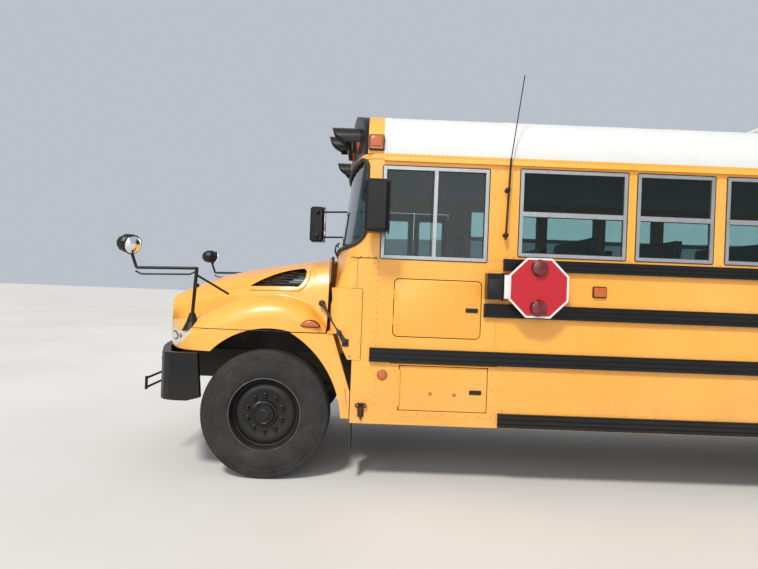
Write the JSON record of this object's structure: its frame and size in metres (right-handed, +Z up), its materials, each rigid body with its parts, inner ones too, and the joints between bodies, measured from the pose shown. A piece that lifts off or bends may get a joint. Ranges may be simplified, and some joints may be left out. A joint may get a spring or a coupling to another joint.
{
  "type": "school bus",
  "caption": "Conventional school bus: tilting hood, cabin with benches, entrance and rear doors, roof hatches, stop arm and crossing gate; all wheels roll and the front ones steer.",
  "frame": {"origin": "on the ground, below the middle of the bounding box", "axes": "+X to the front of the bus, +Y to its left, +Z up"},
  "size_m": [11.066, 2.98, 3.2355],
  "materials": {
    "yellow_paint": "semi-gloss, sun-faded",
    "black_paint": "satin",
    "white_paint": "chalky",
    "red_paint": "semi-gloss",
    "frame_paint": "dusty satin",
    "axle_iron": "dusty",
    "engine_iron": "dull",
    "radiator_core": "dull",
    "bare_steel": "dull",
    "wheel_paint": "satin, dusty",
    "tyre_rubber": "matt, dusty",
    "flap_rubber": "matt",
    "clear_glass": "clear",
    "sash_aluminium": "mill finish, dulled",
    "floor_rubber": "ribbed, matt",
    "seat_vinyl": "grained vinyl",
    "seat_steel": "satin",
    "dark_plastic": "moulded",
    "amber_lens": "gloss",
    "lamp_lens": "clear over chrome",
    "mirror_shell": "semi-gloss"
  },
  "bodies": {
    "bus": {"chassis_frame": "frame_paint", "engine_block": "engine_iron", "radiator": "radiator_core", "front_axle": "axle_iron", "rear_axle": "axle_iron", "driveline": "axle_iron", "fuel_tank": "bare_steel", "exhaust": "bare_steel", "wall_left": "yellow_paint", "wall_right": "yellow_paint", "side_boxes": "frame_paint", "step_well": "floor_rubber", "wheelhouses": "floor_rubber", "rub_rails": "black_paint", "window_sashes": "sash_aluminium", "side_glass": "clear_glass", "side_mirrors": "mirror_shell", "floor": "floor_rubber", "roof": "white_paint", "rear_wall": "yellow_paint", "cowl": "yellow_paint", "windshield": "clear_glass", "front_cap": "black_paint", "lamps": "amber_lens", "front_bumper": "black_paint", "rear_bumper": "black_paint", "mud_flaps": "flap_rubber", "arm_motors": "black_paint", "seat_bottoms": "seat_vinyl", "seat_backs": "seat_vinyl", "seat_legs": "seat_steel", "dashboard": "dark_plastic", "antenna": "dark_plastic"},
    "left_knuckle": {"knuckle_left": "axle_iron"},
    "right_knuckle": {"knuckle_right": "axle_iron"},
    "front_left_wheel": {"front_wheel_left": "wheel_paint", "front_tyre_left": "tyre_rubber"},
    "front_right_wheel": {"front_wheel_right": "wheel_paint", "front_tyre_right": "tyre_rubber"},
    "rear_left_wheels": {"rear_wheels_left": "wheel_paint", "rear_tyres_left": "tyre_rubber"},
    "rear_right_wheels": {"rear_wheels_right": "wheel_paint", "rear_tyres_right": "tyre_rubber"},
    "hood": {"hood_and_fenders": "yellow_paint", "headlamps": "lamp_lens", "grille": "dark_plastic", "crossover_mirrors": "mirror_shell"},
    "entrance_leaf_front": {"entry_leaf_front": "black_paint", "entry_glass_front": "clear_glass"},
    "entrance_leaf_rear": {"entry_leaf_rear": "black_paint", "entry_glass_rear": "clear_glass"},
    "emergency_door": {"rear_door": "yellow_paint", "rear_door_glass": "clear_glass"},
    "stop_sign_arm": {"stop_arm": "red_paint"},
    "crossing_gate": {"crossing_arm": "black_paint"},
    "battery_flap": {"battery_door": "yellow_paint"},
    "side_flap": {"panel_door": "yellow_paint"},
    "fuel_flap": {"fuel_door": "yellow_paint"},
    "front_hatch": {"hatch_lid_front": "white_paint"},
    "rear_hatch": {"hatch_lid_rear": "white_paint"}
  },
  "joints": [
    {"name": "steer_left", "type": "hinge", "parent": "bus", "child": "left_knuckle", "pos_m": [4.317, 0.88, 0.512], "axis": [0, 0, 1], "range_deg": [-35, 35]},
    {"name": "steer_right", "type": "hinge", "parent": "bus", "child": "right_knuckle", "pos_m": [4.317, -0.88, 0.512], "axis": [0, 0, 1], "range_deg": [-35, 35]},
    {"name": "front_left_roll", "type": "hinge", "parent": "left_knuckle", "child": "front_left_wheel", "pos_m": [4.317, 1.03, 0.512], "axis": [0, 1, 0], "continuous": true},
    {"name": "front_right_roll", "type": "hinge", "parent": "right_knuckle", "child": "front_right_wheel", "pos_m": [4.317, -1.03, 0.512], "axis": [0, 1, 0], "continuous": true},
    {"name": "rear_left_roll", "type": "hinge", "parent": "bus", "child": "rear_left_wheels", "pos_m": [-2.133, 0.903, 0.512], "axis": [0, 1, 0], "continuous": true},
    {"name": "rear_right_roll", "type": "hinge", "parent": "bus", "child": "rear_right_wheels", "pos_m": [-2.133, -0.903, 0.512], "axis": [0, 1, 0], "continuous": true},
    {"name": "hood_tilt", "type": "hinge", "parent": "bus", "child": "hood", "pos_m": [5.317, 0, 1.02], "axis": [0, 1, 0], "range_deg": [0, 65]},
    {"name": "entrance_front_swing", "type": "hinge", "parent": "bus", "child": "entrance_leaf_front", "pos_m": [3.437, -1.223, 1.43], "axis": [0, 0, 1], "range_deg": [0, 88]},
    {"name": "entrance_rear_swing", "type": "hinge", "parent": "bus", "child": "entrance_leaf_rear", "pos_m": [2.627, -1.223, 1.43], "axis": [0, 0, 1], "range_deg": [-88, 0]},
    {"name": "rear_door_swing", "type": "hinge", "parent": "bus", "child": "emergency_door", "pos_m": [-5.407, -0.44, 1.725], "axis": [0, 0, 1], "range_deg": [0, 110]},
    {"name": "stop_arm_swing", "type": "hinge", "parent": "bus", "child": "stop_sign_arm", "pos_m": [2.479, 1.342, 1.597], "axis": [0, 0, -1], "range_deg": [0, 90]},
    {"name": "crossing_gate_swing", "type": "hinge", "parent": "bus", "child": "crossing_gate", "pos_m": [5.405, -0.94, 0.66], "axis": [0, 0, -1], "range_deg": [0, 90]},
    {"name": "battery_flap_swing", "type": "hinge", "parent": "bus", "child": "battery_flap", "pos_m": [3.259, 1.223, 0.779], "axis": [0, 0, -1], "range_deg": [0, 100]},
    {"name": "side_flap_swing", "type": "hinge", "parent": "bus", "child": "side_flap", "pos_m": [3.323, 1.223, 1.404], "axis": [0, 0, -1], "range_deg": [0, 100]},
    {"name": "fuel_flap_swing", "type": "hinge", "parent": "bus", "child": "fuel_flap", "pos_m": [1.557, -1.223, 0.785], "axis": [0, 0, 1], "range_deg": [0, 100]},
    {"name": "front_hatch_lift", "type": "hinge", "parent": "bus", "child": "front_hatch", "pos_m": [-0.0477, 0, 3.1543], "axis": [0, 1, 0], "range_deg": [0, 80]},
    {"name": "rear_hatch_lift", "type": "hinge", "parent": "bus", "child": "rear_hatch", "pos_m": [-3.2277, 0, 3.1543], "axis": [0, 1, 0], "range_deg": [0, 80]}
  ],
  "couplings": [
    {"joint": "steer_right", "follows": "steer_left", "ratio": 1},
    {"joint": "entrance_rear_swing", "follows": "entrance_front_swing", "ratio": -1}
  ]
}
